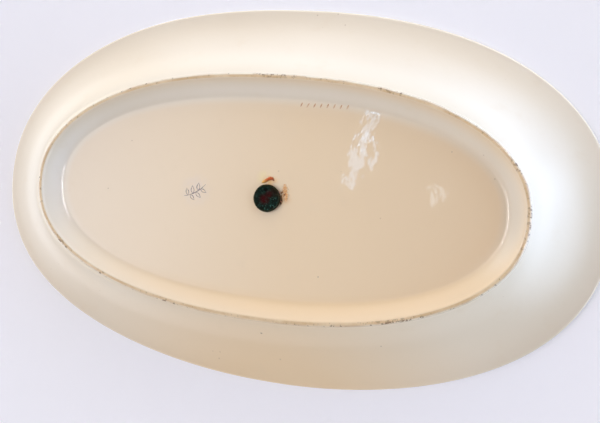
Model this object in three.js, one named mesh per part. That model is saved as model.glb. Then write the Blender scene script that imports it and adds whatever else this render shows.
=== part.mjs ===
// Oval porcelain serving bowl with a collector's seal under its base.
//
// Units are millimetres and +Z is up. The bowl stands on its foot ring: the origin is the
// middle of the plane that the ring rests on, +X runs along the bowl and +Y across it.
//
// The bowl, foot ring included, is one fired piece. Under its base a dark stamped disc is
// stuck on with red sealing wax, and broken remains of the wax lie around the disc.

import * as THREE from 'three';

// Driving dimensions of the bowl. Half sizes are measured from the middle.
const RIM_HALF_LENGTH = 193;
const RIM_HALF_WIDTH = 115.6;
const BOWL_HEIGHT = 38;
const OVAL_POWER = 2.22; // 2 would be a plain ellipse; more makes the ends fuller
const FOOT_HALF_LENGTH = 147.3; // to the middle of the ring's ground edge
const FOOT_EDGE_WIDTH = 2.4;
const FOOT_CHAMFER = 0.5;
const FOOT_CHAMFER_HEIGHT = 0.8;
const RECESS_DEPTH = 8.2;
const BASE_THICKNESS = 4.6;
const LIP_THICKNESS = 3.4;
const WALL_SLOPE = 1; // radians above level, where the wall leaves the foot
const LIP_SLOPE = 0.2; // radians above level, where the flange meets the lip
const WALL_PULL = 16; // how long the wall keeps each of those slopes
const FLAT_HALF_LENGTH = 128; // inside this oval both faces of the base are flat
const WELL_HALF_LENGTH = 136; // where the inside starts to rise
const VERGE_HALF_LENGTH = 167; // where the inside turns from the wall to the flange
const VERGE_HEIGHT = 27.6;
const RING_SEGMENTS = 72;
const CURVE_STEPS = 6;

// Curves of the bowl's section, each by two control points and an end. Every pair is how far
// outwards it lies from the place where the curve is drawn from, and its height.
const COVE_START = -14; // from the ring's inner edge, as for the cove itself
const COVE = [[-8, RECESS_DEPTH], [-5, 4.4], [-FOOT_CHAMFER, FOOT_CHAMFER_HEIGHT]];
const HEEL_START = [0.1, 2]; // from the ring's chamfered outer side, as for the heel itself
const HEEL = [[0.2, 3.4], [0.7, 4.2], [1.5, 5.2]];
const INNER_FLANGE = [[12.2, 35.6], [6.7, 32], [0, VERGE_HEIGHT]]; // from the verge
const INNER_WALL = [[-6.9, 22.6], [-15, RECESS_DEPTH + BASE_THICKNESS]]; // from the verge

// Driving dimensions of the seal. Its layers hang below the recessed base.
const SEAL_RADIUS = 8;
const SEAL_SEGMENTS = 36;
const SEAL_THICKNESS = 1.7;
const SEAL_BEAD_WIDTH = 0.9;
const SEAL_BEAD_HEIGHT = 0.5;
const SEAL_BOSS_RADIUS = 2.6;
const SEAL_BOSS_HEIGHT = 0.45;
const SEAL_EDGE_ROUNDING = 0.3;
const PAD_RADIUS = 7.4;
const PAD_THICKNESS = 0.9;
const TOUCH_GAP = 0.3;
const WAX_BEVEL = 0.15;
const SHARD_THICKNESS = 1.2;
const DRIP_THICKNESS = 1.3;
const FILM_THICKNESS = 0.5;
const CRUMB_THICKNESS = 0.8;

const porcelain = new THREE.MeshStandardMaterial({ color: 0xeee5d4, roughness: 0.18, metalness: 0 });
const darkSeal = new THREE.MeshStandardMaterial({ color: 0x1d3a33, roughness: 0.45, metalness: 0.3 });
const redWax = new THREE.MeshStandardMaterial({ color: 0x6b1a14, roughness: 0.4, metalness: 0 });
const orangeWax = new THREE.MeshStandardMaterial({ color: 0xc9641f, roughness: 0.45, metalness: 0 });

// Half width of the oval whose half length is given. Outside the flat base every oval is
// inset by the same amount at its ends and at its sides, so the wall keeps its thickness.
function halfWidthAt(halfLength) {
  const inset = RIM_HALF_LENGTH - RIM_HALF_WIDTH;
  if (halfLength >= FLAT_HALF_LENGTH) return halfLength - inset;
  return halfLength * (FLAT_HALF_LENGTH - inset) / FLAT_HALF_LENGTH;
}

// Turns a lathed body, made round the Z axis, into the bowl's family of ovals.
function makeOval(geometry) {
  const position = geometry.attributes.position;
  for (let i = 0; i < position.count; i++) {
    const halfLength = Math.hypot(position.getX(i), position.getY(i));
    if (halfLength < 1e-6) continue;
    const along = position.getX(i) / halfLength;
    const across = position.getY(i) / halfLength;
    const powers = Math.abs(along) ** OVAL_POWER + Math.abs(across) ** OVAL_POWER;
    const swell = powers ** (-1 / OVAL_POWER);
    position.setXY(i, halfLength * along * swell, halfWidthAt(halfLength) * across * swell);
  }
  geometry.computeVertexNormals();
  return geometry;
}

// Lathes a profile of (radius, height) points round the Z axis.
function lathe(points, segments) {
  const geometry = new THREE.LatheGeometry(points, segments);
  geometry.rotateX(Math.PI / 2);
  return geometry;
}

// Continues a path along a curve whose pairs are measured outwards from a half length.
function curveFrom(path, halfLength, [first, second, end]) {
  path.bezierCurveTo(
    halfLength + first[0], first[1],
    halfLength + second[0], second[1],
    halfLength + end[0], end[1],
  );
}

// The underside, from the middle of the recess, over the foot ring to the start of the wall.
function drawUnderside(path) {
  const footInner = FOOT_HALF_LENGTH - FOOT_EDGE_WIDTH / 2;
  const footOuter = FOOT_HALF_LENGTH + FOOT_EDGE_WIDTH / 2;
  const footSide = footOuter + FOOT_CHAMFER;
  path.moveTo(0, RECESS_DEPTH);
  path.lineTo(FLAT_HALF_LENGTH, RECESS_DEPTH);
  path.lineTo(footInner + COVE_START, RECESS_DEPTH);
  curveFrom(path, footInner, COVE);
  path.lineTo(footInner, 0);
  path.lineTo(footOuter, 0);
  path.lineTo(footSide, FOOT_CHAMFER_HEIGHT);
  path.lineTo(footSide + HEEL_START[0], HEEL_START[1]);
  curveFrom(path, footSide, HEEL);
}

// The wall and flange from outside, in one curve that flattens outwards, and the round lip.
function drawWall(path) {
  const radius = LIP_THICKNESS / 2;
  const lipLength = RIM_HALF_LENGTH - radius;
  const lipHeight = BOWL_HEIGHT - radius;
  const underX = lipLength + radius * Math.sin(LIP_SLOPE);
  const underZ = lipHeight - radius * Math.cos(LIP_SLOPE);
  const foot = path.currentPoint.clone();
  path.bezierCurveTo(
    foot.x + WALL_PULL * Math.cos(WALL_SLOPE),
    foot.y + WALL_PULL * Math.sin(WALL_SLOPE),
    underX - WALL_PULL * Math.cos(LIP_SLOPE),
    underZ - WALL_PULL * Math.sin(LIP_SLOPE),
    underX,
    underZ,
  );
  path.absarc(lipLength, lipHeight, radius, LIP_SLOPE - Math.PI / 2, LIP_SLOPE + Math.PI / 2, false);
}

// The inside, from the lip down to the flat well.
function drawInside(path) {
  const floor = RECESS_DEPTH + BASE_THICKNESS;
  const well = [WELL_HALF_LENGTH - VERGE_HALF_LENGTH, floor];
  curveFrom(path, VERGE_HALF_LENGTH, INNER_FLANGE);
  curveFrom(path, VERGE_HALF_LENGTH, [...INNER_WALL, well]);
  path.lineTo(FLAT_HALF_LENGTH, floor);
  path.lineTo(0, floor);
}

function bowlGeometry() {
  const path = new THREE.Path();
  drawUnderside(path);
  drawWall(path);
  drawInside(path);
  return makeOval(lathe(path.getPoints(CURVE_STEPS), RING_SEGMENTS));
}

// The stamped disc: a raised bead round a level field, with a low round boss in its middle.
// Its face looks down and its back is level, TOUCH_GAP below the wax pad.
function sealGeometry(back) {
  const lowest = back - SEAL_THICKNESS;
  const field = lowest + SEAL_BEAD_HEIGHT;
  const beadInner = SEAL_RADIUS - SEAL_BEAD_WIDTH;
  const path = new THREE.Path();
  const bossTop = field - SEAL_BOSS_HEIGHT;
  path.moveTo(0, bossTop);
  path.quadraticCurveTo(SEAL_BOSS_RADIUS * 0.7, bossTop, SEAL_BOSS_RADIUS, field);
  path.lineTo(beadInner - SEAL_EDGE_ROUNDING, field);
  path.quadraticCurveTo(beadInner, lowest, SEAL_RADIUS - SEAL_EDGE_ROUNDING, lowest);
  path.lineTo(SEAL_RADIUS, field);
  path.lineTo(SEAL_RADIUS - SEAL_EDGE_ROUNDING, back);
  path.lineTo(0, back);
  return lathe(path.getPoints(CURVE_STEPS), SEAL_SEGMENTS);
}

// A low lump of wax with a smooth closed outline, hanging below the given height.
function waxLump(outline, top, thickness, steps) {
  const shape = new THREE.Shape(new THREE.SplineCurve(outline).getPoints(steps).slice(0, -1));
  const geometry = new THREE.ExtrudeGeometry(shape, {
    depth: thickness - 2 * WAX_BEVEL,
    bevelThickness: WAX_BEVEL,
    bevelSize: WAX_BEVEL,
    bevelSegments: 1,
    steps: 1,
  });
  geometry.translate(0, 0, top - thickness + WAX_BEVEL);
  return geometry;
}

// Points round a closed outline, with the first one repeated at the end.
function closedOutline(pairs) {
  const points = pairs.map(([x, y]) => new THREE.Vector2(x, y));
  return [...points, points[0].clone()];
}

// The wax bed under the disc, squeezed out a little unevenly.
function padOutline() {
  const lobes = 12;
  const pairs = [];
  for (let i = 0; i < lobes; i++) {
    const angle = 2 * Math.PI * i / lobes;
    const radius = PAD_RADIUS - 0.35 * (0.5 + 0.5 * Math.sin(5 * angle + 0.8));
    pairs.push([radius * Math.cos(angle), radius * Math.sin(angle)]);
  }
  return closedOutline(pairs);
}

function addPiece(group, name, geometry, material) {
  const mesh = new THREE.Mesh(geometry, material);
  mesh.name = name;
  group.add(mesh);
}

// The disc on its wax bed, in the middle of the recess.
function addSeal(group) {
  const padTop = RECESS_DEPTH - TOUCH_GAP;
  const sealBack = padTop - PAD_THICKNESS - TOUCH_GAP;
  addPiece(group, 'seal_wax_pad', waxLump(padOutline(), padTop, PAD_THICKNESS, 36), redWax);
  addPiece(group, 'seal_disc', sealGeometry(sealBack), darkSeal);
}

// Remains of broken wax on the glaze around the disc, each a lump of its own. The small
// crumb is stuck on the thin film, so it hangs one layer lower than the others.
function addWaxRemains(group) {
  const top = RECESS_DEPTH - TOUCH_GAP;
  const shard = [[-4.9, -9.5], [-3.5, -10.5], [-1.7, -11.5], [0.1, -12.6], [2.1, -12.3],
    [3, -10.7], [1.7, -10.8], [0.6, -10.8], [-0.9, -10.1], [-2.7, -9.1], [-4.5, -8.9]];
  const drip = [[8.3, -2.4], [8.5, -1], [8.55, 0.4], [8.4, 1.9], [8.2, 2.9],
    [8.7, 3], [9, 1.9], [9.2, 0.4], [9, -1.1], [8.7, -2.5]];
  const film = [[9, -9], [9.2, -7], [9.55, -4.6], [9.7, -2.6], [9.9, -0.8], [10.6, 0.8],
    [11.1, 0.7], [11.6, -0.8], [11.8, -2.6], [11.5, -4.6], [10.9, -6.8], [10.3, -8.8], [9.7, -9.5]];
  addPiece(group, 'wax_shard', waxLump(closedOutline(shard), top, SHARD_THICKNESS, 33), orangeWax);
  addPiece(group, 'wax_drip', waxLump(closedOutline(drip), top, DRIP_THICKNESS, 30), redWax);
  addPiece(group, 'wax_film', waxLump(closedOutline(film), top, FILM_THICKNESS, 39), orangeWax);
  const underFilm = top - FILM_THICKNESS - TOUCH_GAP;
  addCrumb(group, 'wax_crumb_large', new THREE.Vector3(8.3, -4, top), 0.55);
  addCrumb(group, 'wax_crumb_small', new THREE.Vector3(10.4, -2.9, underFilm), 0.45);
}

// A small round lump of wax that hangs from the given place.
function addCrumb(group, name, place, radius) {
  const ring = new THREE.EllipseCurve(place.x, place.y, radius, radius * 0.85).getPoints(10);
  addPiece(group, name, waxLump(ring, place.z, CRUMB_THICKNESS, 10), orangeWax);
}

const servingBowl = new THREE.Group();
servingBowl.name = 'oval_serving_bowl';
addPiece(servingBowl, 'bowl_body', bowlGeometry(), porcelain);
addSeal(servingBowl);
addWaxRemains(servingBowl);

export default servingBowl;
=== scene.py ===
"""Looks of the oval porcelain serving bowl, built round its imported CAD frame.

The bowl stands upright on its foot ring. The main camera looks up at its underside, where the
seal, the painted marks and the bare edge of the foot ring are. Profiles and outlines are drawn
in millimetres, as a potter's section is, and every mesh is made in metres.
"""

import math

import bmesh
import bpy
from mathutils import Matrix, Vector, noise


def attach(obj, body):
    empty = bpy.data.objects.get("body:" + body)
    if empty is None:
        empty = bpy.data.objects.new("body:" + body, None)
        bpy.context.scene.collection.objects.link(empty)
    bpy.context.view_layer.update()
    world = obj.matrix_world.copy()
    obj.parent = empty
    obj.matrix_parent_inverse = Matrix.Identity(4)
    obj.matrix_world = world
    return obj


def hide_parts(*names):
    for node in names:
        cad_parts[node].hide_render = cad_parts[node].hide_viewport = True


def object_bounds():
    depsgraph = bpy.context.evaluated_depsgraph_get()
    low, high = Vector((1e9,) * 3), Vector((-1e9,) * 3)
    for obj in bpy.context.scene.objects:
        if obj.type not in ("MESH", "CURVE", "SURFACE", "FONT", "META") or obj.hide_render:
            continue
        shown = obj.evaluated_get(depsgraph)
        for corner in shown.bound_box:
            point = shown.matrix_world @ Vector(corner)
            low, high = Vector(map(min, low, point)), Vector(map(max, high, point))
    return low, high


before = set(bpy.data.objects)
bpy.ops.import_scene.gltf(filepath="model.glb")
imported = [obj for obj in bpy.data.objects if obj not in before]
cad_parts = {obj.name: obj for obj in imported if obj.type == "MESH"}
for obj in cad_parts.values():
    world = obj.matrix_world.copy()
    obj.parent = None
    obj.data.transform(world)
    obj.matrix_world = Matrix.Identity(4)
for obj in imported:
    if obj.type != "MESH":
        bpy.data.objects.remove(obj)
CAD_LOW, CAD_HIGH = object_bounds()

MM = 0.001

# The bowl's section. Lengths are half lengths of the ovals, measured from the middle. The slopes
# are in radians, and WALL_PULL is the length of the two handles of the wall's curve.
RIM_HALF_LENGTH = (CAD_HIGH.x - CAD_LOW.x) / 2 / MM
RIM_HALF_WIDTH = (CAD_HIGH.y - CAD_LOW.y) / 2 / MM
BOWL_HEIGHT = CAD_HIGH.z / MM
OVAL_POWER = 2.22
FOOT_HALF_LENGTH = 147.3
FOOT_EDGE_WIDTH = 2.4
RECESS_DEPTH = 8.2
BASE_THICKNESS = 4.6
LIP_THICKNESS = 3.4
WALL_SLOPE = 1.0
LIP_SLOPE = 0.2
WALL_PULL = 16
FLAT_HALF_LENGTH = 128.0
COVE_WIDTH = 10.8
WALL_START = 150.0
BASE_RINGS = 32
LIP_STEPS = 16
RING_SEGMENTS = 288

# The seal, in the middle of the recess: its radii, and heights above the foot ring's plane.
SEAL_RADIUS = 8.0
SEAL_FACE = 5.5
RAISED_FACE = 5.2
SEAL_BACK = 6.9
PAD_RADIUS = 7.3
PAD_FRONT = 6.85
PAD_BACK = 8.15
SEAL_SEGMENTS = 180
SEAL_FACE_RINGS = 60
PAD_SEGMENTS = 120

# The camera, as turns of the bowl in front of a lens that looks along +Z with +Y downwards.
CAMERA_TURN = 15.5
CAMERA_TILT = 2.5
CAMERA_ROLL = 4.6
BOWL_FROM_LENS = Vector((-20.9, -7.6, 460.8)) * MM
LENS_MM = 48
SENSOR_MM = 36


def srgb(red, green, blue):
    """A linear colour from the 0 to 255 values of a colour chart."""

    def linear(value):
        share = value / 255
        return share / 12.92 if share <= 0.04045 else ((share + 0.055) / 1.055) ** 2.4

    return (linear(red), linear(green), linear(blue), 1.0)


def part_way(value, start, end):
    """How far a value is on its way from start to end, from 0 to 1."""
    return min(1.0, max(0.0, (value - start) / (end - start)))


def ease_between(value, start, peak, end):
    """0 at start and end, 1 at peak, eased on both sides."""
    if not start < value < end:
        return 0.0
    share = (value - start) / (peak - start) if value < peak else (end - value) / (end - peak)
    return share * share * (3 - 2 * share)


def ease_round(angle, centre, half_arc):
    """1 at a place round the oval, easing to 0 at half_arc from it. All in degrees."""
    away = abs((angle - centre + 180) % 360 - 180)
    return 0.5 + 0.5 * math.cos(math.pi * away / half_arc) if away < half_arc else 0.0


def strength_round(angle, place):
    """How strong a place is at an angle. A place is its centre, its half arc and its strength."""
    centre, half_arc, strength = place
    return strength * ease_round(angle, centre, half_arc)


# ---------------------------------------------------------------- node trees and materials


class Nodes:
    """A node tree, with short calls for the nodes that this scene uses."""

    def __init__(self, tree, place):
        self.tree = tree
        self.place = self.node("ShaderNodeTexCoord").outputs[place]

    def node(self, kind, **settings):
        made = self.tree.nodes.new(kind)
        for key, value in settings.items():
            setattr(made, key, value)
        return made

    def join(self, source, target):
        """Links source to target, or sets target where source is a plain value."""
        if isinstance(source, bpy.types.NodeSocket):
            self.tree.links.new(source, target)
        else:
            target.default_value = source

    def math(self, operation, first, second=0.0):
        made = self.node("ShaderNodeMath", operation=operation)
        self.join(first, made.inputs[0])
        self.join(second, made.inputs[1])
        return made.outputs[0]

    def vector(self, operation, first, second, output="Vector"):
        made = self.node("ShaderNodeVectorMath", operation=operation)
        self.join(first, made.inputs[0])
        self.join(second, made.inputs[1])
        return made.outputs[output]

    def stretch(self, value, low, high, to_low=0.0, to_high=1.0):
        """value from low to high, eased to run from to_low to to_high."""
        made = self.node("ShaderNodeMapRange", interpolation_type="SMOOTHSTEP")
        for socket, given in zip(made.inputs[:5], (value, low, high, to_low, to_high)):
            self.join(given, socket)
        return made.outputs["Result"]

    def mix(self, share, first, second):
        """first where share is 0, second where it is 1. Both are colours."""
        made = self.node("ShaderNodeMix", data_type="RGBA")
        share_in, first_in, second_in = (made.inputs[index] for index in (0, 6, 7))
        self.join(share, share_in)
        self.join(first, first_in)
        self.join(second, second_in)
        return made.outputs[2]


class Shader(Nodes):
    """A material round one Principled shader."""

    def __init__(self, name):
        self.material = bpy.data.materials.new(name)
        self.material.use_nodes = True
        super().__init__(self.material.node_tree, "Object")
        self.surface = self.tree.nodes["Principled BSDF"]
        self.output = self.tree.nodes["Material Output"]

    def noise(self, scale, detail=3.0, roughness=0.5):
        made = self.node("ShaderNodeTexNoise")
        self.join(self.place, made.inputs["Vector"])
        made.inputs["Scale"].default_value = scale
        made.inputs["Detail"].default_value = detail
        made.inputs["Roughness"].default_value = roughness
        return made.outputs["Fac"]

    def cells(self, scale):
        """How far each point lies from the middle of its cell."""
        made = self.node("ShaderNodeTexVoronoi")
        self.join(self.place, made.inputs["Vector"])
        made.inputs["Scale"].default_value = scale
        return made.outputs["Distance"]

    def attribute(self, name):
        return self.node("ShaderNodeAttribute", attribute_name=name).outputs["Fac"]

    def spot(self, centre, radius, soft=0.4):
        """1 inside a round spot, 0 outside it. Both are in millimetres."""
        away = self.vector("DISTANCE", self.place, Vector(centre) * MM, "Value")
        return self.stretch(away, radius * (1 + soft) * MM, radius * (1 - soft) * MM)

    def bump(self, height, depth, under=None):
        """Relief of a height from 0 to 1, depth millimetres deep, over the bump under it."""
        made = self.node("ShaderNodeBump")
        made.inputs["Distance"].default_value = depth * MM
        self.join(height, made.inputs["Height"])
        if under is not None:
            self.join(under, made.inputs["Normal"])
        return made.outputs["Normal"]

    def finish(self, **inputs):
        """Sets or links the Principled shader's inputs, whose names have _ for each space."""
        for name, value in inputs.items():
            self.join(value, self.surface.inputs[name.replace("_", " ")])
        return self.material


# Iron specks that burned through the glaze: places, radii and how dark each is.
IRON_SPECKS = [
    ((156.0, 70.1, 25.0), 0.75, 1.0),
    ((71.9, 80.6, 20.0), 0.6, 0.5),
    ((0.1, 81.5, 15.0), 0.8, 0.55),
    ((9.4, 98.6, 28.0), 0.7, 0.3),
    ((122.8, -79.2, 22.0), 0.45, 0.6),
    ((33.9, 42.7, 8.2), 0.35, 0.5),
    ((103.6, -34.3, 8.2), 0.3, 0.4),
    ((10.3, -8.6, 8.0), 0.3, 0.6),
    ((-94.9, -54.0, 5.0), 0.6, 0.8),
]

# Stains in the glaze round the seal and the mark: places, radii, strengths and colours.
GLAZE_STAINS = [
    ((-3.0, -11.6, 8.0), 4.0, 0.6, (240, 224, 166)),
    ((-0.8, -9.9, 8.0), 2.8, 0.9, (240, 184, 106)),
    ((3.4, -10.6, 8.0), 1.9, 0.7, (240, 196, 134)),
    ((10.6, -1.0, 8.0), 3.0, 0.6, (230, 186, 130)),
    ((11.0, -5.2, 8.0), 2.6, 0.45, (232, 192, 140)),
    ((-46.0, -1.0, 8.0), 7.5, 0.3, (222, 214, 214)),
]


def glaze_colour(shader, tone_and_painted_light):
    """Ivory that drifts over the bowl, warm where its tone value is 1 and white where it is -1.
    That value carries painted light and shade as well as the glaze's tone.
    """
    drift = shader.noise(9, detail=2)
    mottle = shader.noise(70, detail=4, roughness=0.6)
    ivory = shader.mix(shader.stretch(drift, 0.3, 0.7), srgb(237, 226, 207), srgb(241, 231, 213))
    ivory = shader.mix(tone_and_painted_light, ivory, srgb(238, 214, 179))
    ivory = shader.mix(shader.math("MULTIPLY", tone_and_painted_light, -1.0), ivory, srgb(252, 246, 237))
    return shader.mix(shader.stretch(mottle, 0.55, 0.8, 0, 0.2), ivory, srgb(230, 210, 180))


def glaze_relief(shader):
    """The glaze's slow waves and finer ripple."""
    waves = shader.bump(shader.noise(62, detail=1), 0.12)
    return shader.bump(shader.noise(300, detail=1), 0.024, under=waves)


def speckled_colour(shader, colour):
    """A thin scatter of tiny specks, with the larger ones by place."""
    sparse = shader.stretch(shader.noise(23, detail=1), 0.6, 0.68)
    tiny = shader.stretch(shader.cells(160), 0.09, 0.05)
    scatter = shader.math("MULTIPLY", shader.math("MULTIPLY", tiny, sparse), 0.35)
    colour = shader.mix(scatter, colour, srgb(150, 120, 84))
    for place, radius, strength in IRON_SPECKS:
        mark = shader.math("MULTIPLY", shader.spot(place, radius), strength)
        colour = shader.mix(mark, colour, srgb(58, 44, 34))
    return colour


def porcelain_material():
    """Ivory porcelain under a clear glaze, bare and stained where the foot ring was ground."""
    shader = Shader("glazed_porcelain")
    glaze = glaze_colour(shader, shader.attribute("tone_and_painted_light"))
    # Peach towards the cove's +Y side. A painted grey shade darkens the cove near +X and the
    # flange's outer part near +X.
    peach = shader.math("MULTIPLY", shader.attribute("peach_and_painted_shade"), 0.6)
    glaze = shader.mix(peach, glaze, srgb(238, 208, 164))
    thin_and_painted_shade = shader.math("MULTIPLY", shader.attribute("peach_and_painted_shade"), -0.9)
    glaze = shader.mix(thin_and_painted_shade, glaze, srgb(212, 199, 178))
    cloudy = shader.stretch(shader.noise(330, detail=3), 0.35, 0.6, 0.4, 1.0)
    for place, radius, strength, colour in GLAZE_STAINS:
        stain = shader.math("MULTIPLY", shader.spot(place, radius, soft=0.7), strength)
        glaze = shader.mix(shader.math("MULTIPLY", stain, cloudy), glaze, srgb(*colour))
    glaze = speckled_colour(shader, glaze)

    # The glaze line beside the ground edge flashed brown in places.
    worn = shader.noise(420, detail=4, roughness=0.65)
    warm_share = shader.stretch(shader.noise(60, detail=3, roughness=0.6), 0.42, 0.66, 0.0, 0.55)
    seam = shader.math("MULTIPLY", shader.attribute("seam"), warm_share)
    glaze = shader.mix(seam, glaze, srgb(196, 154, 106))

    # The ground edge itself: pale biscuit, with dark crumbs of dirt where it grew grimy.
    bare = shader.attribute("bare")
    edge = shader.stretch(shader.math("ADD", bare, shader.math("MULTIPLY", worn, 0.5)), 0.62, 0.86)
    stain = shader.stretch(shader.noise(48, detail=5, roughness=0.7), 0.35, 0.65)
    biscuit = shader.mix(stain, srgb(234, 211, 174), srgb(216, 186, 142))
    grime = shader.math("MULTIPLY", shader.attribute("grime"), 0.16)
    crumbs = shader.math("ADD", shader.noise(520, detail=3, roughness=0.6), grime)
    dirt = shader.math("MULTIPLY", shader.stretch(crumbs, 0.6, 0.7), 0.9)
    glaze = shader.mix(edge, glaze, biscuit)
    near_edge = shader.math("MAXIMUM", shader.attribute("seam"), shader.math("MULTIPLY", bare, 0.5))
    colour = shader.mix(shader.math("MULTIPLY", dirt, near_edge), glaze, srgb(104, 68, 38))

    roughness = shader.stretch(shader.noise(31, detail=3), 0.3, 0.7, 0.005, 0.02)
    roughness = shader.math("ADD", roughness, shader.math("MULTIPLY", edge, 0.6))
    grit = shader.math("MULTIPLY", worn, edge)
    relief = shader.bump(grit, 0.25, under=glaze_relief(shader))
    return shader.finish(Base_Color=colour, Roughness=roughness, IOR=1.5, Normal=relief)


# ---------------------------------------------------------------- meshes


class Skin:
    """Closed skins over rings of points, given in millimetres, for one mesh in metres.

    Every point carries one value for each named attribute, for its material to read.
    """

    def __init__(self, *names):
        self.names = names
        self.corners = []
        self.values = []
        self.faces = []

    def point(self, place, *values):
        self.corners.append(Vector(place) * MM)
        self.values.append(values)
        return len(self.corners) - 1

    def close(self, first, rings, last):
        """Covers the way from the first point over the rings, one after another, to the last."""
        count = len(rings[0])
        for step in range(count):
            following = (step + 1) % count
            self.faces.append((first, rings[0][following], rings[0][step]))
            for low, high in zip(rings, rings[1:]):
                self.faces.append((low[step], low[following], high[following], high[step]))
            self.faces.append((rings[-1][step], rings[-1][following], last))

    def mesh(self, name):
        mesh = bpy.data.meshes.new(name)
        mesh.from_pydata(self.corners, [], self.faces)
        facing_out = bmesh.new()
        facing_out.from_mesh(mesh)
        bmesh.ops.recalc_face_normals(facing_out, faces=facing_out.faces)
        facing_out.to_mesh(mesh)
        facing_out.free()
        mesh.shade_smooth()
        for index, attribute in enumerate(self.names):
            layer = mesh.attributes.new(attribute, "FLOAT", "POINT")
            layer.data.foreach_set("value", [values[index] for values in self.values])
        return mesh


def add_piece(name, mesh, material, slot, *replaced):
    """Links a mesh as a piece of the bowl that rides with it."""
    piece = bpy.data.objects.new(name, mesh)
    bpy.context.scene.collection.objects.link(piece)
    mesh.materials.append(material)
    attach(piece, "root")
    if replaced:
        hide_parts(*replaced)
    return piece


# ---------------------------------------------------------------- the bowl's section


def bezier(start, first, second, end, steps=14):
    """Points along a cubic curve, without its start."""
    points = []
    for step in range(1, steps + 1):
        t = step / steps
        weights = ((1 - t) ** 3, 3 * t * (1 - t) ** 2, 3 * t * t * (1 - t), t**3)
        corners = (start, first, second, end)
        points.append(tuple(sum(w * c[i] for w, c in zip(weights, corners)) for i in (0, 1)))
    return points


def level(start, end, height, steps):
    """Evenly spaced points along a level stretch, without its start."""
    return [(start + (end - start) * step / steps, height) for step in range(1, steps + 1)]


def underside_profile():
    """From the middle of the recess, over the foot ring to the start of the wall."""
    inner = FOOT_HALF_LENGTH - FOOT_EDGE_WIDTH / 2
    outer = FOOT_HALF_LENGTH + FOOT_EDGE_WIDTH / 2
    foot = outer + 0.5
    points = [(0.0, RECESS_DEPTH)]
    points += level(0, FLAT_HALF_LENGTH, RECESS_DEPTH, BASE_RINGS)
    points += level(FLAT_HALF_LENGTH, inner - COVE_WIDTH, RECESS_DEPTH, 2)
    cove_end = (inner - 0.5, 0.8)
    points += bezier(points[-1], (inner - 8.6, RECESS_DEPTH), (inner - 6.2, 5.8), cove_end, 28)
    points += bezier(points[-1], (inner - 0.2, 0.3), (inner, 0), (inner + 0.4, 0), 5)
    points += level(inner + 0.4, outer - 0.4, 0, 8)
    points += bezier(points[-1], (outer, 0), (foot - 0.1, 0.3), (foot, 0.9), 5)
    points += level(foot, foot + 0.1, 2, 1)
    points += bezier(points[-1], (foot + 0.2, 3.4), (foot + 0.7, 4.2), (foot + 1.5, 5.2), 6)
    return points


def wall_profile(start):
    """The wall and flange from outside, in one curve that flattens outwards, and the lip."""
    radius = LIP_THICKNESS / 2
    lip_x, lip_z = RIM_HALF_LENGTH - radius, BOWL_HEIGHT - radius
    under = (lip_x + radius * math.sin(LIP_SLOPE), lip_z - radius * math.cos(LIP_SLOPE))
    leaving = (
        start[0] + WALL_PULL * math.cos(WALL_SLOPE),
        start[1] + WALL_PULL * math.sin(WALL_SLOPE),
    )
    arriving = (
        under[0] - WALL_PULL * math.cos(LIP_SLOPE),
        under[1] - WALL_PULL * math.sin(LIP_SLOPE),
    )
    points = bezier(start, leaving, arriving, under, 36)
    for step in range(1, LIP_STEPS + 1):
        angle = LIP_SLOPE - math.pi / 2 + math.pi * step / LIP_STEPS
        points.append((lip_x + radius * math.cos(angle), lip_z + radius * math.sin(angle)))
    return points


def inside_profile(start):
    """From the lip down to the level well."""
    floor = RECESS_DEPTH + BASE_THICKNESS
    verge = FOOT_HALF_LENGTH + 19.7
    flat = FLAT_HALF_LENGTH + 8
    points = bezier(start, (verge + 12.2, 35.6), (verge + 6.7, 32), (verge, 27.6), 18)
    points += bezier(points[-1], (verge - 6.9, 22.6), (verge - 15, floor), (flat, floor), 20)
    points += level(flat, FLAT_HALF_LENGTH, floor, 2)
    points += level(FLAT_HALF_LENGTH, 0, floor, BASE_RINGS)
    return points


UNDERSIDE = underside_profile()


def half_width(half_length):
    """The half width of the oval of this half length, as in the CAD model."""
    inset = RIM_HALF_LENGTH - RIM_HALF_WIDTH
    if half_length >= FLAT_HALF_LENGTH:
        return half_length - inset
    return half_length * (FLAT_HALF_LENGTH - inset) / FLAT_HALF_LENGTH


def on_oval(half_length, angle):
    """The point at an angle round the oval of this half length."""
    along, across = math.cos(angle), math.sin(angle)
    powers = abs(along) ** OVAL_POWER + abs(across) ** OVAL_POWER
    swell = powers ** (-1 / OVAL_POWER)
    return half_length * along * swell, half_width(half_length) * across * swell


HALVINGS = 30


def half_length_at(x, y):
    """The half length of the oval that passes through a point, by halving."""
    low, high = 0.0, RIM_HALF_LENGTH
    for _ in range(HALVINGS):
        middle = (low + high) / 2
        powers = (abs(x) / middle) ** OVAL_POWER + (abs(y) / half_width(middle)) ** OVAL_POWER
        if powers > 1:
            low = middle
        else:
            high = middle
    return high


# How far the base sank in the firing, and the oval that sank.
SAG_HALF_LENGTH = 132.0
SAG_HALF_WIDTH = 54.0
SAG_DEPTH = 0.25
SAG_RIPPLE = 0.12
SAG_RIPPLE_LENGTH = 45.0


def sag(x, y):
    """How far the base sank here: most in the middle, none at the foot ring."""
    reach = min(1.0, (x / SAG_HALF_LENGTH) ** 2 + (y / SAG_HALF_WIDTH) ** 2)
    ripple = noise.noise(Vector((x / SAG_RIPPLE_LENGTH, y / SAG_RIPPLE_LENGTH, 3.1)))
    return (1 - reach) ** 2 * (SAG_DEPTH + SAG_RIPPLE * ripple)


# Where the potter's hand left the bowl uneven: angle round the oval and half width in degrees,
# then how far the foot ring and the rim stand out there.
UNEVEN_PLACES = [
    (-150, 40, -1.5, -2.4),
    (120, 40, -0.7, -2.3),
    (30, 40, 0.0, 0.8),
    (-50, 40, 0.5, 0.5),
]

# The waves that the firing left in the rim: how many go round it, their phase, how far they
# shrink it, as a share of its size, and how far they drop it.
RIM_WAVES = [
    (2, 0.6, 0.0016, 0.35),
    (5, 2.0, 0.0006, 0.12),
]


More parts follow.
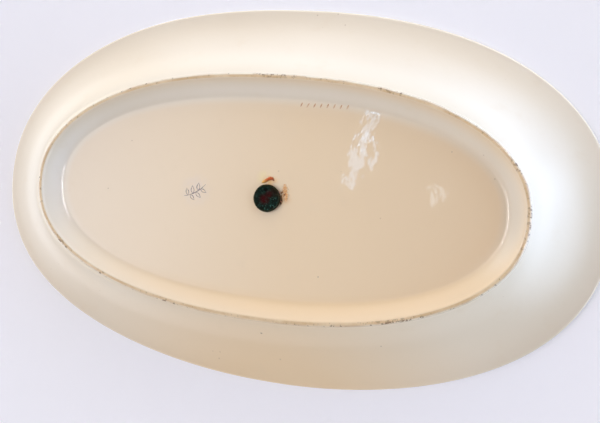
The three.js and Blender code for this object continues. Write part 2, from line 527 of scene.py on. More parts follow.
def hand_warp(half_length, x, y, z):
    """The slight unevenness of a hand-finished bowl. It stays inside the CAD model's box."""
    if half_length <= SAG_HALF_LENGTH:
        return x, y, z - sag(x, y)
    angle = math.atan2(y, x)
    round_oval = math.degrees(math.atan2(y / half_width(half_length), x / half_length))
    at_ring = part_way(half_length, SAG_HALF_LENGTH, FOOT_HALF_LENGTH)
    outward = part_way(half_length, WALL_START, RIM_HALF_LENGTH)
    shrink = drop = push = 0.0
    for count, phase, most_shrink, most_drop in RIM_WAVES:
        wave = outward * (0.5 + 0.5 * math.sin(count * angle + phase))
        shrink += wave * most_shrink
        drop += wave * most_drop
    for centre, half_arc, ring_push, rim_push in UNEVEN_PLACES:
        place_push = at_ring * ring_push + outward * (rim_push - ring_push)
        push += ease_round(round_oval, centre, half_arc) * place_push
    away = Vector((x / half_length**2, y / half_width(half_length) ** 2)).normalized() * push
    return x * (1 - shrink) + away.x, y * (1 - shrink) + away.y, z - drop


def base_height(x, y):
    """The height of the underside at a place inside the foot ring."""
    half_length = half_length_at(x, y)
    for (start, low), (end, high) in zip(UNDERSIDE, UNDERSIDE[1:]):
        if start <= half_length <= end:
            flat = low + (high - low) * (half_length - start) / (end - start)
            return hand_warp(half_length, x, y, flat)[2]
    raise ValueError("the place is outside the foot ring")


# Places round the bowl, each with its angle round the oval from +X towards +Y and its half width,
# in degrees, and its strength. First the grimy stretches of the foot ring's ground edge.
GRIMY_PLACES = [
    (-90, 7, 1.0),
    (-63, 5, 0.6),
    (-23, 4, 1.0),
    (1, 15, 0.75),
    (58, 12, 1.0),
    (73, 6, 0.5),
    (113, 9, 0.5),
    (131, 2, 1.0),
    (149, 8, 0.9),
    (176, 20, 0.35),
    (-150, 20, 0.3),
]

# Then the cove: where it is peach, where a painted grey shade darkens it, and where painted light
# makes it paler.
COVE_PEACH = (80, 130, 1.0)
COVE_PAINTED_SHADE = (0, 45, 1.0)
COVE_PAINTED_LIGHT = [(180, 75, 0.6), (-105, 75, 0.3)]

# Then the wall and the flange: where they are warmer, where a painted highlight whitens them, and
# where a painted grey shade darkens them.
WALL_WARMER = (88, 52, 0.8)
WALL_PAINTED_HIGHLIGHT = (-10, 60, 0.6)
FLANGE_PAINTED_SHADE = (15, 60, 0.5)

# Stretches of the section, as half lengths: where each starts, peaks and ends.
COVE_STRETCH = (130, 140, 149)
SEAM_STRETCH = (147.4, 148.4, 149.3)

# How far from its middle line the foot ring's edge starts to be glazed and is glazed in full,
# and the height under which that counts.
BARE_FADE = (0.4, 1.0)
EDGE_HEIGHT = 1.2

# Where the recess's tone starts and is full, how warm it is at its -X end, the places along X
# where that grows to full, how warm the wall is at least, and how much warmer the flange grows
# out at the rim. The recess's warmer, darker +X end is part glaze tone and part painted shade.
RECESS_STRETCH = (FOOT_HALF_LENGTH + 0.6, FOOT_HALF_LENGTH - 1.4)
LEAST_WARM = 0.35
WARM_FROM, WARM_TO = -140, 15
WALL_WARM = 0.12
WARMER_AT_RIM = 0.375
FLANGE_STRETCH = (WALL_START, 190)


def bare_share(half_length, height):
    """1 on the foot ring's ground edge, where there is no glaze."""
    if height >= EDGE_HEIGHT:
        return 0.0
    return 1 - part_way(abs(half_length - FOOT_HALF_LENGTH), *BARE_FADE)


def bowl_values(half_length, height, angle):
    """How bare, warm, peach, flashed at the glaze line and grimy the underside and the wall are at
    a point. The warm and peach values also carry painted light and shade.
    """
    peach_side = strength_round(angle, COVE_PEACH)
    cove = ease_between(half_length, *COVE_STRETCH)
    recessed = part_way(half_length, *RECESS_STRETCH)
    outward = part_way(half_length, *FLANGE_STRETCH)

    # The recess grows warmer and darker towards +X: part glaze tone, part painted shade.
    along = part_way(half_length * math.cos(math.radians(angle)), WARM_FROM, WARM_TO)
    tone_and_painted_light = recessed * (LEAST_WARM + (1 - LEAST_WARM) * along) * (1 - cove * (1 - peach_side))
    # Painted light: the cove is whitened at its -X end and on its -Y side.
    tone_and_painted_light -= cove * max(strength_round(angle, place) for place in COVE_PAINTED_LIGHT)
    # The wall is warmer on its +Y side, more so out at the rim.
    warm_share = (1 + WARMER_AT_RIM * outward) * strength_round(angle, WALL_WARMER)
    # Painted highlight: the wall is whitened near +X, fading out towards the rim.
    painted_highlight = (1 - outward) * strength_round(angle, WALL_PAINTED_HIGHLIGHT)
    tone_and_painted_light += (1 - recessed) * (max(warm_share, WALL_WARM) - painted_highlight)

    # Peach where this is above 0, and a painted grey shade where it is below.
    peach_and_painted_shade = cove * (peach_side - strength_round(angle, COVE_PAINTED_SHADE))
    peach_and_painted_shade -= outward**2 * strength_round(angle, FLANGE_PAINTED_SHADE)
    seam = ease_between(half_length, *SEAM_STRETCH)
    grime = sum(strength_round(angle, place) for place in GRIMY_PLACES)
    return bare_share(half_length, height), tone_and_painted_light, peach_and_painted_shade, seam, grime


def bowl_mesh():
    """The whole bowl, from the middle of its recess over foot ring and lip to its well."""
    profile = UNDERSIDE + wall_profile(UNDERSIDE[-1])
    outside_points = len(profile)
    profile += inside_profile(profile[-1])
    skin = Skin("bare", "tone_and_painted_light", "peach_and_painted_shade", "seam", "grime")

    def add(index, angle):
        half_length, height = profile[index]
        x, y = on_oval(half_length, angle) if half_length > 0 else (0.0, 0.0)
        values = (0.0,) * len(skin.names)
        if index < outside_points:
            values = bowl_values(half_length, height, math.degrees(angle))
        return skin.point(hand_warp(half_length, x, y, height), *values)

    rings = []
    for index in range(1, len(profile) - 1):
        angles = (2 * math.pi * step / RING_SEGMENTS for step in range(RING_SEGMENTS))
        rings.append([add(index, angle) for angle in angles])
    skin.close(add(0, 0.0), rings, add(len(profile) - 1, 0.0))
    return skin.mesh("bowl")


# ---------------------------------------------------------------- the seal

# The beads, petals, boss and pit on the seal's face, and how uneven its edge and its bed's are.
BEADS = 34
BEAD_CIRCLE = 6.35
BEAD_RADIUS = 0.4
PETALS = 8
PETAL_START = 1.9
PETAL_END = 5.5
PETAL_HALF_WIDTH = 0.95
BOSS_RADIUS = 1.9
PIT = (-0.9, -4.9)
SEAL_RIM_STRETCH = (6.85, 7.5, 8.4)
VEIN_SHARE = 0.2
SEAL_UNEVEN = 0.14
PAD_UNEVEN = 0.3

# How far each part of the seal's face stands out, and how deep its faults are.
RIM_RELIEF = 0.5
BEAD_RELIEF = 0.24
PETAL_RELIEF = 0.4
VEIN_RELIEF = 0.12
BOSS_RELIEF = 0.4
GRAIN_RELIEF = 0.07
CHIP_RELIEF = 0.16
PIT_RELIEF = 0.5


def arc_to_nearest(radius, angle, count):
    """The arc, in millimetres, from an angle to the nearest of count even places."""
    spacing = 2 * math.pi / count
    return radius * abs((angle + spacing / 2) % spacing - spacing / 2)


def seal_relief(radius, angle):
    """How far the seal's face stands out: a worn rosette and a ring of beads inside a rim."""
    x, y = radius * math.cos(angle), radius * math.sin(angle)
    rim = RIM_RELIEF * ease_between(radius, *SEAL_RIM_STRETCH)
    bead_away = math.hypot(radius - BEAD_CIRCLE, arc_to_nearest(radius, angle, BEADS))
    bead = BEAD_RELIEF * max(0.0, 1 - (bead_away / BEAD_RADIUS) ** 2)
    petal = 0.0
    if PETAL_START < radius < PETAL_END:
        along = (radius - PETAL_START) / (PETAL_END - PETAL_START)
        half = PETAL_HALF_WIDTH * math.sin(math.pi * along) ** 0.7
        across = arc_to_nearest(radius, angle, PETALS) / max(half, 0.05)
        vein = VEIN_RELIEF * math.exp(-((across / VEIN_SHARE) ** 2))
        petal = PETAL_RELIEF * max(0.0, 1 - across**2) - vein
    boss = BOSS_RELIEF * math.sqrt(max(0.0, 1 - (radius / BOSS_RADIUS) ** 2))
    spared = 0.5 + 0.5 * noise.noise(Vector((x * 0.42, y * 0.42, 7.7)))
    grain = GRAIN_RELIEF * noise.noise(Vector((x * 2.6, y * 2.6, 1.3)))
    chipped = CHIP_RELIEF * max(0.0, noise.noise(Vector((x * 0.9, y * 0.9, 4.2))) - 0.1)
    pit = PIT_RELIEF * math.exp(-((x - PIT[0]) ** 2 + (y - PIT[1]) ** 2) / 0.55)
    crisp = 0.45 + 0.75 * spared
    return rim + (bead + petal + boss) * crisp + grain - chipped - pit


def seal_edge(angle):
    """The seal's radius, which its stamping left slightly uneven."""
    turn = Vector((1.7 * math.cos(angle), 1.7 * math.sin(angle), 2.4))
    return SEAL_RADIUS + SEAL_UNEVEN * noise.noise(turn)


# The disc's side, from its face to its back: share of its radius, height.
SEAL_SIDE = [(1.008, 5.45), (1.012, 5.9), (1.0, 6.4), (0.97, SEAL_BACK)]


def seal_mesh():
    """The stamped disc, face down, from the middle of its face round its edge to its back."""
    skin = Skin("raised", "outward")
    angles = [2 * math.pi * step / SEAL_SEGMENTS for step in range(SEAL_SEGMENTS)]

    def ring(share, height=None):
        places = []
        for angle in angles:
            radius = seal_edge(angle) * share
            stands_out = seal_relief(radius, angle) if height is None else 0.0
            z = SEAL_FACE - stands_out if height is None else height
            place = (radius * math.cos(angle), radius * math.sin(angle), z)
            places.append(skin.point(place, stands_out / RIM_RELIEF, share))
        return places

    rings = [ring(step / SEAL_FACE_RINGS) for step in range(1, SEAL_FACE_RINGS + 1)]
    rings += [ring(share, height) for share, height in SEAL_SIDE]
    middle = skin.point((0, 0, SEAL_FACE - seal_relief(0.0, 0.0)), 0.6, 0.0)
    skin.close(middle, rings, skin.point((0, 0, SEAL_BACK), 0.0, 1.0))
    return skin.mesh("stamped_seal")


def seal_material():
    """Hard dark seal wax: blue-green over the field, olive at the rim, maroon where it is worn,
    with painted glints on its raised tips and a painted shade in its pit.
    """
    shader = Shader("dark_seal_wax")
    raised = shader.attribute("raised")
    outward = shader.attribute("outward")
    cloud = shader.noise(330, detail=3, roughness=0.6)
    fine = shader.noise(1500, detail=3, roughness=0.7)
    field = shader.mix(shader.stretch(cloud, 0.35, 0.65), srgb(12, 18, 11), srgb(10, 36, 28))
    grains = shader.stretch(shader.noise(1000, detail=2, roughness=0.6), 0.56, 0.68)
    lower_right = shader.spot((2.6, 4.2, SEAL_FACE), 5.2, soft=0.5)
    grains = shader.math("MULTIPLY", grains, shader.stretch(lower_right, 0, 1, 0.2, 0.85))
    # Painted glints: the raised tips are tinted light teal.
    painted_glints = shader.math("MULTIPLY", shader.stretch(raised, 0.4, 0.95), 0.35)
    colour = shader.mix(shader.math("MAXIMUM", grains, painted_glints), field, srgb(78, 124, 112))
    # Painted shade: the pit's hollow is coloured nearly black.
    pit = shader.spot((*PIT, SEAL_FACE), 1.0, soft=0.5)
    colour = shader.mix(pit, colour, srgb(3, 5, 4))
    brown = shader.spot((5.0, -4.4, SEAL_FACE), 3.2, soft=0.6)
    colour = shader.mix(shader.math("MULTIPLY", brown, 0.75), colour, srgb(38, 24, 12))
    middle = shader.spot((-1.4, 0.6, RAISED_FACE), 2.6, soft=0.7)
    above = shader.spot((1.2, -2.4, RAISED_FACE), 1.8, soft=0.7)
    worn = shader.math("MAXIMUM", middle, above)
    worn = shader.math("MULTIPLY", worn, shader.stretch(cloud, 0.3, 0.55, 0.35, 1.0))
    colour = shader.mix(worn, colour, srgb(60, 4, 7))
    rim = shader.stretch(outward, 0.84, 0.94)
    rim_colour = shader.mix(shader.stretch(fine, 0.4, 0.7), srgb(28, 28, 13), srgb(70, 58, 26))
    colour = shader.mix(shader.math("MULTIPLY", rim, 0.85), colour, rim_colour)
    roughness = shader.stretch(fine, 0.3, 0.7, 0.14, 0.34)
    relief = shader.bump(fine, 0.16, under=shader.bump(cloud, 0.3))
    return shader.finish(
        Base_Color=colour,
        Roughness=roughness,
        IOR=1.45,
        Specular_IOR_Level=0.04,
        Normal=relief,
    )


# The wax bed's side, from its front to where it meets the glaze: share of its radius, height.
PAD_SIDE = [(0.95, PAD_FRONT), (1.0, 7.05), (1.0, 7.4), (1.03, 7.75), (1.09, PAD_BACK)]


def pad_mesh():
    """The bed of red wax, squeezed out round the disc and spread where it meets the glaze."""
    skin = Skin()
    rings = []
    for share, height in PAD_SIDE:
        ring = []
        for step in range(PAD_SEGMENTS):
            angle = 2 * math.pi * step / PAD_SEGMENTS
            lumps = noise.noise(Vector((2.2 * math.cos(angle), 2.2 * math.sin(angle), height)))
            radius = PAD_RADIUS * share + PAD_UNEVEN * lumps
            ring.append(skin.point((radius * math.cos(angle), radius * math.sin(angle), height)))
        rings.append(ring)
    skin.close(skin.point((0, 0, PAD_FRONT)), rings, skin.point((0, 0, PAD_BACK)))
    return skin.mesh("seal_wax_bed")


# ---------------------------------------------------------------- wax remains and painted marks


def smooth_path(knots, step_length):
    """Evenly spaced points, with a value each, along a smooth curve through (x, y, value) knots."""
    path = []
    for index in range(len(knots) - 1):
        before = Vector(knots[max(index - 1, 0)])
        start, end = Vector(knots[index]), Vector(knots[index + 1])
        after = Vector(knots[min(index + 2, len(knots) - 1)])
        steps = max(2, round((end - start).length / step_length))
        for step in range(steps):
            t = step / steps
            straight = start * (1 - t) + end * t
            bend = (end - before) * (t * (1 - t) ** 2) - (after - start) * (t * t * (1 - t))
            pull = (start - end) * (t * (1 - t) * (1 - 2 * t))
            path.append(straight + bend * 0.5 + pull)
    path.append(Vector(knots[-1]))
    return path


# A strip's section: how far across it each point of its top and of its sunken back is.
STRIP_TOP = (-1, -0.8, -0.5, -0.2, 0.2, 0.5, 0.8, 1)
STRIP_BACK = (0.5, -0.5)
STRIP_SUNK = 0.04
STRIP_LEAST = 0.02


def add_strip(skin, knots, thickness, step_length=0.25, lumps=0.0, seed=0.0):
    """A low rounded strip of wax or paint on the underside of the base.

    The knots are x, y and half width. The strip's values say how far a point lies along it, from
    0 to 1, and across it, from 0 at its middle line to 1 at its edge. The seed picks its lumps.
    """
    path = smooth_path(knots, step_length)
    last = len(path) - 1
    rings = []
    for index, knot in enumerate(path):
        ahead = path[min(index + 1, last)].xy - path[max(index - 1, 0)].xy
        side = Vector((-ahead.y, ahead.x)).normalized()
        along = index / last
        ring = []
        for across in STRIP_TOP + STRIP_BACK:
            back = len(ring) >= len(STRIP_TOP)
            ragged = 1 + lumps * noise.noise(Vector((knot.x * 1.3, knot.y * 1.3, seed + across)))
            place = knot.xy + side * (across * max(knot.z, 0.02) * ragged)
            depth = thickness * math.sqrt(1 - across**2) * ragged
            least = STRIP_LEAST if abs(across) < 1 else -STRIP_LEAST
            depth = -STRIP_SUNK if back else max(depth, least)
            point = (place.x, place.y, base_height(place.x, place.y) - depth)
            ring.append(skin.point(point, along, abs(across)))
        rings.append(ring)
    ends = []
    for knot, along in ((path[0], 0.0), (path[-1], 1.0)):
        point = (knot.x, knot.y, base_height(knot.x, knot.y))
        ends.append(skin.point(point, along, 1.0))
    skin.close(ends[0], rings, ends[1])


def strip_mesh(name, strips, thickness, **settings):
    """One mesh of several strips, each given by its knots."""
    skin = Skin("along", "across")
    for index, knots in enumerate(strips):
        add_strip(skin, knots, thickness, seed=float(index), **settings)
    return skin.mesh(name)


def wax_material(name, start, middle, end):
    """Old sealing wax whose colour changes along its length, cracked and dusty."""
    shader = Shader(name)
    along = shader.attribute("along")
    cloud = shader.noise(900, detail=4, roughness=0.65)
    first = shader.mix(shader.stretch(along, 0.05, 0.5), srgb(*start), srgb(*middle))
    colour = shader.mix(shader.stretch(along, 0.6, 0.97), first, srgb(*end))
    colour = shader.mix(shader.stretch(cloud, 0.52, 0.75, 0, 0.4), colour, srgb(128, 60, 18))
    thin_and_painted_shade = shader.stretch(shader.attribute("across"), 0.55, 1.0, 0, 0.6)
    colour = shader.mix(thin_and_painted_shade, colour, srgb(232, 190, 130))
    roughness = shader.stretch(cloud, 0.3, 0.7, 0.25, 0.5)
    relief = shader.bump(cloud, 0.18)
    return shader.finish(Base_Color=colour, Roughness=roughness, IOR=1.45, Normal=relief)


def wax_bed_material():
    """Dark red sealing wax, cloudy and uneven in its gloss."""
    shader = Shader("red_sealing_wax")
    cloud = shader.noise(420, detail=4, roughness=0.6)
    colour = shader.mix(shader.stretch(cloud, 0.35, 0.65), srgb(64, 18, 14), srgb(112, 34, 20))
    roughness = shader.stretch(cloud, 0.3, 0.7, 0.2, 0.45)
    relief = shader.bump(cloud, 0.25)
    return shader.finish(Base_Color=colour, Roughness=roughness, IOR=1.45, Normal=relief)


def paint_material(name, ink, faint, full):
    """A painted mark under the glaze: thin colour that pools unevenly and fades at its edges."""
    shader = Shader(name)
    flow = shader.noise(700, detail=3, roughness=0.6)
    body = shader.stretch(shader.attribute("across"), 1.0, 0.35)
    pooling = shader.stretch(flow, 0.3, 0.65, faint, full)
    covered = shader.math("MULTIPLY", body, pooling)
    colour = shader.mix(covered, glaze_colour(shader, 1.0), srgb(*ink))
    return shader.finish(Base_Color=colour, Roughness=0.05, IOR=1.5, Normal=glaze_relief(shader))


def film_material():
    """A stain of wax so thin that the glaze shows through it in patches."""
    shader = Shader("pale_wax")
    cloud = shader.noise(520, detail=4, roughness=0.65)
    body = shader.stretch(shader.attribute("across"), 1.0, 0.5)
    share = shader.math("MULTIPLY", body, shader.stretch(cloud, 0.36, 0.56, 0.2, 1.0))
    fine = shader.stretch(shader.noise(900), 0.45, 0.65)
    tan = shader.mix(fine, srgb(226, 172, 110), srgb(188, 116, 56))
    colour = shader.mix(share, glaze_colour(shader, 1.0), tan)
    return shader.finish(Base_Color=colour, Roughness=0.3, IOR=1.45, Normal=shader.bump(cloud, 0.1))


# The remains of broken wax round the seal: x, y and half width along each.
SHARD = [
    (-4.3, -9.0, 0.5),
    (-2.9, -9.7, 0.95),
    (-1.2, -10.8, 1.0),
    (0.4, -11.7, 1.15),
    (1.9, -11.5, 0.9),
    (3.0, -10.4, 0.25),
]
DRIP = [
    (8.0, -2.6, 0.2),
    (8.4, -1.2, 0.35),
    (8.7, 0.4, 0.5),
    (8.5, 1.8, 0.6),
    (8.1, 2.9, 0.4),
]
FILM = [
    (9.7, -9.0, 0.9),
    (9.9, -6.8, 1.7),
    (10.3, -4.4, 2.0),
    (10.6, -2.2, 2.1),
    (10.8, -0.2, 1.5),
    (10.9, 1.6, 0.5),
]
CRUMBS = [
    [(7.8, -3.4, 0.2), (8.3, -4.0, 0.55), (8.9, -4.5, 0.25)],
    [(9.6, -2.4, 0.2), (10.0, -2.9, 0.5), (10.3, -3.5, 0.2)],
]


def add_seal():
    """The stamped disc and the bed of wax that holds it."""
    add_piece("stamped_seal", seal_mesh(), seal_material(), "dark_seal", "seal_disc")
    add_piece("seal_wax_bed", pad_mesh(), wax_bed_material(), "red_wax", "seal_wax_pad")


def add_wax_remains():
    """The shard, drip, film and crumbs of broken wax round the seal."""
    shard = strip_mesh("orange_wax_shard", [SHARD], 0.8, lumps=0.3)
    shard_wax = wax_material("orange_wax", (238, 186, 100), (206, 92, 26), (150, 70, 28))
    add_piece("orange_wax_shard", shard, shard_wax, "orange_wax", "wax_shard")
    drip = strip_mesh("brown_wax_drip", [DRIP], 0.9, lumps=0.25)
    drip_wax = wax_material("brown_wax", (104, 72, 24), (92, 54, 14), (54, 32, 8))
    add_piece("brown_wax_drip", drip, drip_wax, "red_wax", "wax_drip")
    film = strip_mesh("pale_wax_film", [FILM], 0.06, lumps=0.6)
    add_piece("pale_wax_film", film, film_material(), "orange_wax", "wax_film")
    crumbs = strip_mesh("wax_crumbs", CRUMBS, 0.5, step_length=0.12, lumps=0.6)
    crumb_wax = wax_material("crumb_wax", (150, 100, 52), (146, 88, 36), (120, 80, 40))
    add_piece("wax_crumbs", crumbs, crumb_wax, "orange_wax", "wax_crumb_large", "wax_crumb_small")


# The painted sprig: x, y and half width along its stem.
SPRIG_STEM = [
    (-53.0, 2.9, 0.16),
    (-49.6, 2.0, 0.34),
    (-46.0, 0.3, 0.4),
    (-42.6, -2.1, 0.34),
    (-39.8, -4.9, 0.16),
]

# Its leaves, from where each leaves the stem to its tip.
SPRIG_LEAVES = [
    ((-50.6, 2.3), (-51.8, -1.9)),
    ((-47.6, 1.2), (-48.2, -3.6)),
    ((-44.4, -0.8), (-44.2, -5.6)),
    ((-49.2, 1.9), (-46.4, 5.0)),
    ((-45.9, 0.3), (-42.4, 3.2)),
    ((-42.9, -1.9), (-39.0, -0.1)),
]

# How far each side of a leaf bulges, as a share of its length, and how thick the paint is.
LEAF_BULGE = 0.2
PAINT_THICKNESS = 0.03

# The row of dabs: how many, how far apart along X, and the middle of the first.
DAB_COUNT = 8
DAB_STEP = 3.9
FIRST_DAB = Vector((15.8, -55.6))


def leaf_strokes(stem, tip):
    """The two sides of a leaf, each one thin stroke."""
    start, end = Vector(stem), Vector(tip)
    side = Vector((start.y - end.y, end.x - start.x)) * LEAF_BULGE
    middle = start * 0.55 + end * 0.45
    strokes = []
    for bow in (side, -side):
        bowed = middle + bow
        strokes.append([(*start, 0.12), (*bowed, 0.34), (*end, 0.1)])
    return strokes


def add_painted_marks():
    """A small grey-blue sprig on the seal's -X side, and a row of iron-red dabs on its -Y side."""
    strokes = [SPRIG_STEM]
    for stem, tip in SPRIG_LEAVES:
        strokes += leaf_strokes(stem, tip)
    blue = paint_material("grey_blue_underglaze", (98, 94, 112), 0.45, 1.0)
    sprig = strip_mesh("painted_sprig", strokes, PAINT_THICKNESS)
    add_piece("painted_sprig", sprig, blue, "porcelain")
    dabs = []
    for index in range(DAB_COUNT):
        sway = noise.noise(Vector((index * 1.7, 0.4, 9.1)))
        middle = FIRST_DAB + Vector((index * DAB_STEP, 0.5 * sway))
        lean = Vector((0.5 + 0.4 * sway, -1.2))
        dabs.append([(*(middle - lean), 0.2), (*middle, 0.6), (*(middle + lean), 0.3)])
    red = paint_material("iron_red", (196, 142, 104), 0.3, 0.9)
    add_piece("brush_dabs", strip_mesh("brush_dabs", dabs, PAINT_THICKNESS), red, "porcelain")


# ---------------------------------------------------------------- camera, stage and light


def add_camera():
    """The camera under the bowl. The bowl's own turns give the camera's place in its frame."""
    turn = Matrix.Rotation(math.radians(CAMERA_TURN), 3, "Y")
    tilt = Matrix.Rotation(math.radians(CAMERA_TILT), 3, "X")
    roll = Matrix.Rotation(math.radians(CAMERA_ROLL), 3, "Z")
    to_bowl = (roll @ tilt @ turn).transposed()
    right, down, ahead = (to_bowl @ Vector(axis) for axis in ((1, 0, 0), (0, 1, 0), (0, 0, 1)))
    place = -(to_bowl @ BOWL_FROM_LENS)
    lens = bpy.data.cameras.new("camera")
    lens.lens, lens.sensor_width = LENS_MM, SENSOR_MM
    lens.clip_start, lens.clip_end = 0.01, 50
    camera = bpy.data.objects.new("camera", lens)
    camera.matrix_world = Matrix((right, -down, -ahead)).transposed().to_4x4()
    camera.location = place
    bpy.context.scene.collection.objects.link(camera)
    bpy.context.scene.camera = camera


# The stage: sizes in metres, the contact shadow's reach and the backdrop's gap in millimetres.
FLOOR_SIZE = 30
FLOOR_COLOUR = srgb(208, 207, 208)
SHADOW_REACH = 60
DEEPEST_SHADOW = 0.3
BACKDROP_SIZE = 8
BACKDROP_GAP = 0.3
BACKDROP_GLOW = 0.12


def show_from_front(shader):
    """Makes a stage surface clear from behind, so that it hides nothing behind it."""
    side = shader.node("ShaderNodeNewGeometry").outputs["Backfacing"]
    clear = shader.node("ShaderNodeBsdfTransparent").outputs[0]
    choose = shader.node("ShaderNodeMixShader")
    shader.join(side, choose.inputs[0])
    shader.join(shader.surface.outputs[0], choose.inputs[1])
    shader.join(clear, choose.inputs[2])
    shader.join(choose.outputs[0], shader.output.inputs["Surface"])
    return shader.material


def grained(shader, colour):
    """A pale colour with a faint cloudy grain."""
    cloud = shader.stretch(shader.noise(3), 0.3, 0.7, 0, 0.06)
    return shader.mix(cloud, colour, srgb(255, 255, 255))


def floor_material():
    """An evenly glowing pale floor, darkened by a painted contact shadow where the bowl stands
    close over it.
    """
    shader = Shader("pale_floor")
    close = shader.node("ShaderNodeAmbientOcclusion")
    close.inputs["Distance"].default_value = SHADOW_REACH * MM
    shadow = shader.stretch(close.outputs["AO"], 0, 1, DEEPEST_SHADOW, 1)
    lit = shader.vector("MULTIPLY", grained(shader, FLOOR_COLOUR), shadow)
    shader.finish(
        Base_Color=(0, 0, 0, 1),
        Roughness=1.0,
        Specular_IOR_Level=0.0,
        Emission_Color=lit,
        Emission_Strength=1.0,
    )
    return show_from_front(shader)


def backdrop_material():
    """The pale ground behind the bowl in views from below."""
    shader = Shader("pale_floor_at_rim")
    tint = grained(shader, srgb(240, 240, 246))
    shader.finish(
        Base_Color=tint,
        Roughness=0.9,
        Emission_Color=tint,
        Emission_Strength=BACKDROP_GLOW,
    )
    return show_from_front(shader)


def add_stage_plane(name, height, size, facing_up, material):
    """A level plane that only the camera sees, so it neither shades nor lights the bowl."""
    half = size / 2
    corners = [(x * half, y * half, height) for x, y in ((-1, -1), (1, -1), (1, 1), (-1, 1))]
    order = (0, 1, 2, 3) if facing_up else (3, 2, 1, 0)
    mesh = bpy.data.meshes.new(name)
    mesh.from_pydata(corners, [], [order])
    mesh.materials.append(material)
    plane = bpy.data.objects.new(name, mesh)
    bpy.context.scene.collection.objects.link(plane)
    for ray in ("diffuse", "glossy", "transmission", "shadow"):
        setattr(plane, "visible_" + ray, False)


def add_stage():
    """A floor under the foot ring for views from above, and one at the rim for those from below."""
    add_stage_plane("floor", 0.0, FLOOR_SIZE, True, floor_material())
    behind = CAD_HIGH.z + BACKDROP_GAP * MM
    add_stage_plane("floor_at_rim", behind, BACKDROP_SIZE, False, backdrop_material())


# The light all round, as soft patches of sky. Each has a name, its azimuth from +X towards +Y, its
# tilt from straight down, its half width and half height, all in degrees, how much of it is soft
# edge, and its colour times its strength.
SKY_PATCHES = [
    ("behind, left, near", 180, 20, 12, 20, 0.7, (1.05, 1.0, 0.85)),
    ("behind, left", 180, 32, 22, 22, 0.7, (1.2, 1.2, 1.2)),
    ("behind, left, far", 180, 42, 16, 20, 0.7, (1.6, 1.5, 1.75)),
    ("right, low", 0, 20, 22, 22, 0.7, (0.47, 0.46, 0.68)),
    ("right", 10, 84, 35, 25, 0.7, (2.05, 2.4, 2.95)),
    ("top right", 315, 84, 35, 25, 0.7, (1.2, 1.5, 2.05)),
    ("top", 270, 84, 35, 25, 0.7, (1.15, 1.35, 1.65)),
    ("top left", 225, 84, 35, 25, 0.7, (0.95, 0.8, 0.6)),
    ("left", 180, 84, 35, 25, 0.7, (1.05, 1.35, 1.7)),
    ("bottom left", 135, 84, 35, 25, 0.7, (0.6, 0.45, 0.35)),
    ("bottom", 100, 58, 28, 22, 0.7, (0.5, 0.42, 0.3)),
    ("bottom right", 55, 70, 25, 22, 0.7, (0.2, 0.2, 0.15)),
    ("warm top", 270, 58, 28, 22, 0.7, (0.7, 0.4, 0.0)),
]

# The panes of bright windows, which the glaze mirrors in its flat base.
WINDOWS = [
    ("pane, top", -149.0, 11.1, 1.1, 0.4, 0.06, (1.9, 3.4, 5.2)),
    ("pane, upper left", -155.0, 11.8, 0.53, 0.83, 0.06, (1.9, 3.4, 5.2)),
    ("pane, upper right", -150.6, 10.6, 0.3, 0.4, 0.06, (1.9, 3.4, 5.2)),
    ("pane, neck", -162.2, 11.6, 0.36, 0.74, 0.06, (1.9, 3.4, 5.2)),
    ("pane, lower", -168.7, 11.4, 0.8, 1.12, 0.06, (1.9, 3.4, 5.2)),
    ("pane, tail", -177.7, 11.7, 0.38, 0.83, 0.06, (1.9, 3.4, 5.2)),
    ("far pane", 175, 5.9, 0.35, 0.9, 0.2, (2.4, 3.2, 3.8)),
]

# Narrow bright strips that only gloss mirrors: they draw the thin lines in the cove.
GLINT_STRIPS = [
    ("for the left cove", -28, 15, 1.2, 22, 0.2, (90, 92, 95)),
    ("for the right cove", 177.5, 46, 0.9, 16, 0.2, (50, 51, 52)),
]

# The light from above, and the plain background that the camera sees behind everything.
PALE_ABOVE = (0.62, 0.63, 0.65)
BACKGROUND = (0.80, 0.80, 0.81, 1)

# The tilt under which a patch lies too near straight down to stand upright along Z.
NEARLY_DOWN = 50


def toward(azimuth, tilt):
    """The direction at an azimuth from +X towards +Y and a tilt from straight down."""
    azimuth, tilt = math.radians(azimuth), math.radians(tilt)
    level_part = math.sin(tilt)
    return Vector((level_part * math.cos(azimuth), level_part * math.sin(azimuth), -math.cos(tilt)))


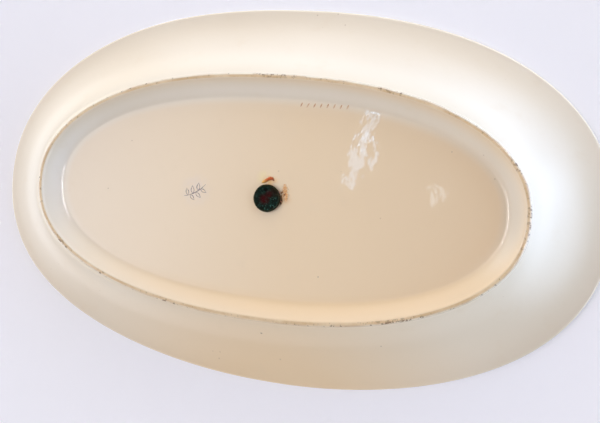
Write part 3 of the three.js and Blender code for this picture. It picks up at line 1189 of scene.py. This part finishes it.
def add_patch(sky, azimuth, tilt, half_wide, half_tall, edge, colour, total):
    """Adds an oval patch of light to the light so far."""
    axis = toward(azimuth, tilt)
    upright = Vector((0, 1, 0)) if tilt < NEARLY_DOWN else Vector((0, 0, 1))
    across = axis.cross(upright).normalized()
    up = across.cross(axis)
    ahead = sky.math("MAXIMUM", sky.vector("DOT_PRODUCT", sky.place, axis, "Value"), 0.001)
    squares = []
    for side, half in ((across, half_wide), (up, half_tall)):
        scaled = side / math.tan(math.radians(half))
        offset = sky.vector("DOT_PRODUCT", sky.place, scaled, "Value")
        squares.append(sky.math("POWER", sky.math("ABSOLUTE", offset), 2.0))
    length = sky.math("SQRT", sky.math("ADD", *squares))
    away = sky.math("DIVIDE", length, ahead)
    share = sky.stretch(away, 1 + edge, 1 - edge)
    lit = sky.vector("MULTIPLY", share, colour)
    return sky.vector("ADD", lit, total)


def add_sky():
    """Soft studio light from all round, with a plain pale background behind it."""
    world = bpy.data.worlds.new("sky")
    bpy.context.scene.world = world
    world.use_nodes = True
    world.node_tree.nodes.clear()
    sky = Nodes(world.node_tree, "Generated")
    split = sky.node("ShaderNodeSeparateXYZ")
    sky.join(sky.place, split.inputs[0])
    above = sky.stretch(split.outputs["Z"], -0.1, 0.1)
    total = sky.vector("MULTIPLY", above, PALE_ABOVE)
    for _, *patch in SKY_PATCHES + WINDOWS:
        total = add_patch(sky, *patch, total)
    glints = (0, 0, 0)
    for _, *strip in GLINT_STRIPS:
        glints = add_patch(sky, *strip, glints)
    mirrored = sky.node("ShaderNodeLightPath").outputs["Is Glossy Ray"]
    total = sky.vector("ADD", total, sky.vector("MULTIPLY", glints, mirrored))

    light = sky.node("ShaderNodeBackground")
    sky.join(total, light.inputs["Color"])
    seen = sky.node("ShaderNodeBackground")
    seen.inputs["Color"].default_value = BACKGROUND
    choose = sky.node("ShaderNodeMixShader")
    sky.join(sky.node("ShaderNodeLightPath").outputs["Is Camera Ray"], choose.inputs[0])
    sky.join(light.outputs[0], choose.inputs[1])
    sky.join(seen.outputs[0], choose.inputs[2])
    sky.join(choose.outputs[0], sky.node("ShaderNodeOutputWorld").inputs["Surface"])
    bpy.context.scene.view_settings.view_transform = "Standard"


# ---------------------------------------------------------------- the scene

add_camera()
add_stage()
add_sky()
add_piece("bowl", bowl_mesh(), porcelain_material(), "porcelain", "bowl_body")
add_seal()
add_wax_remains()
add_painted_marks()
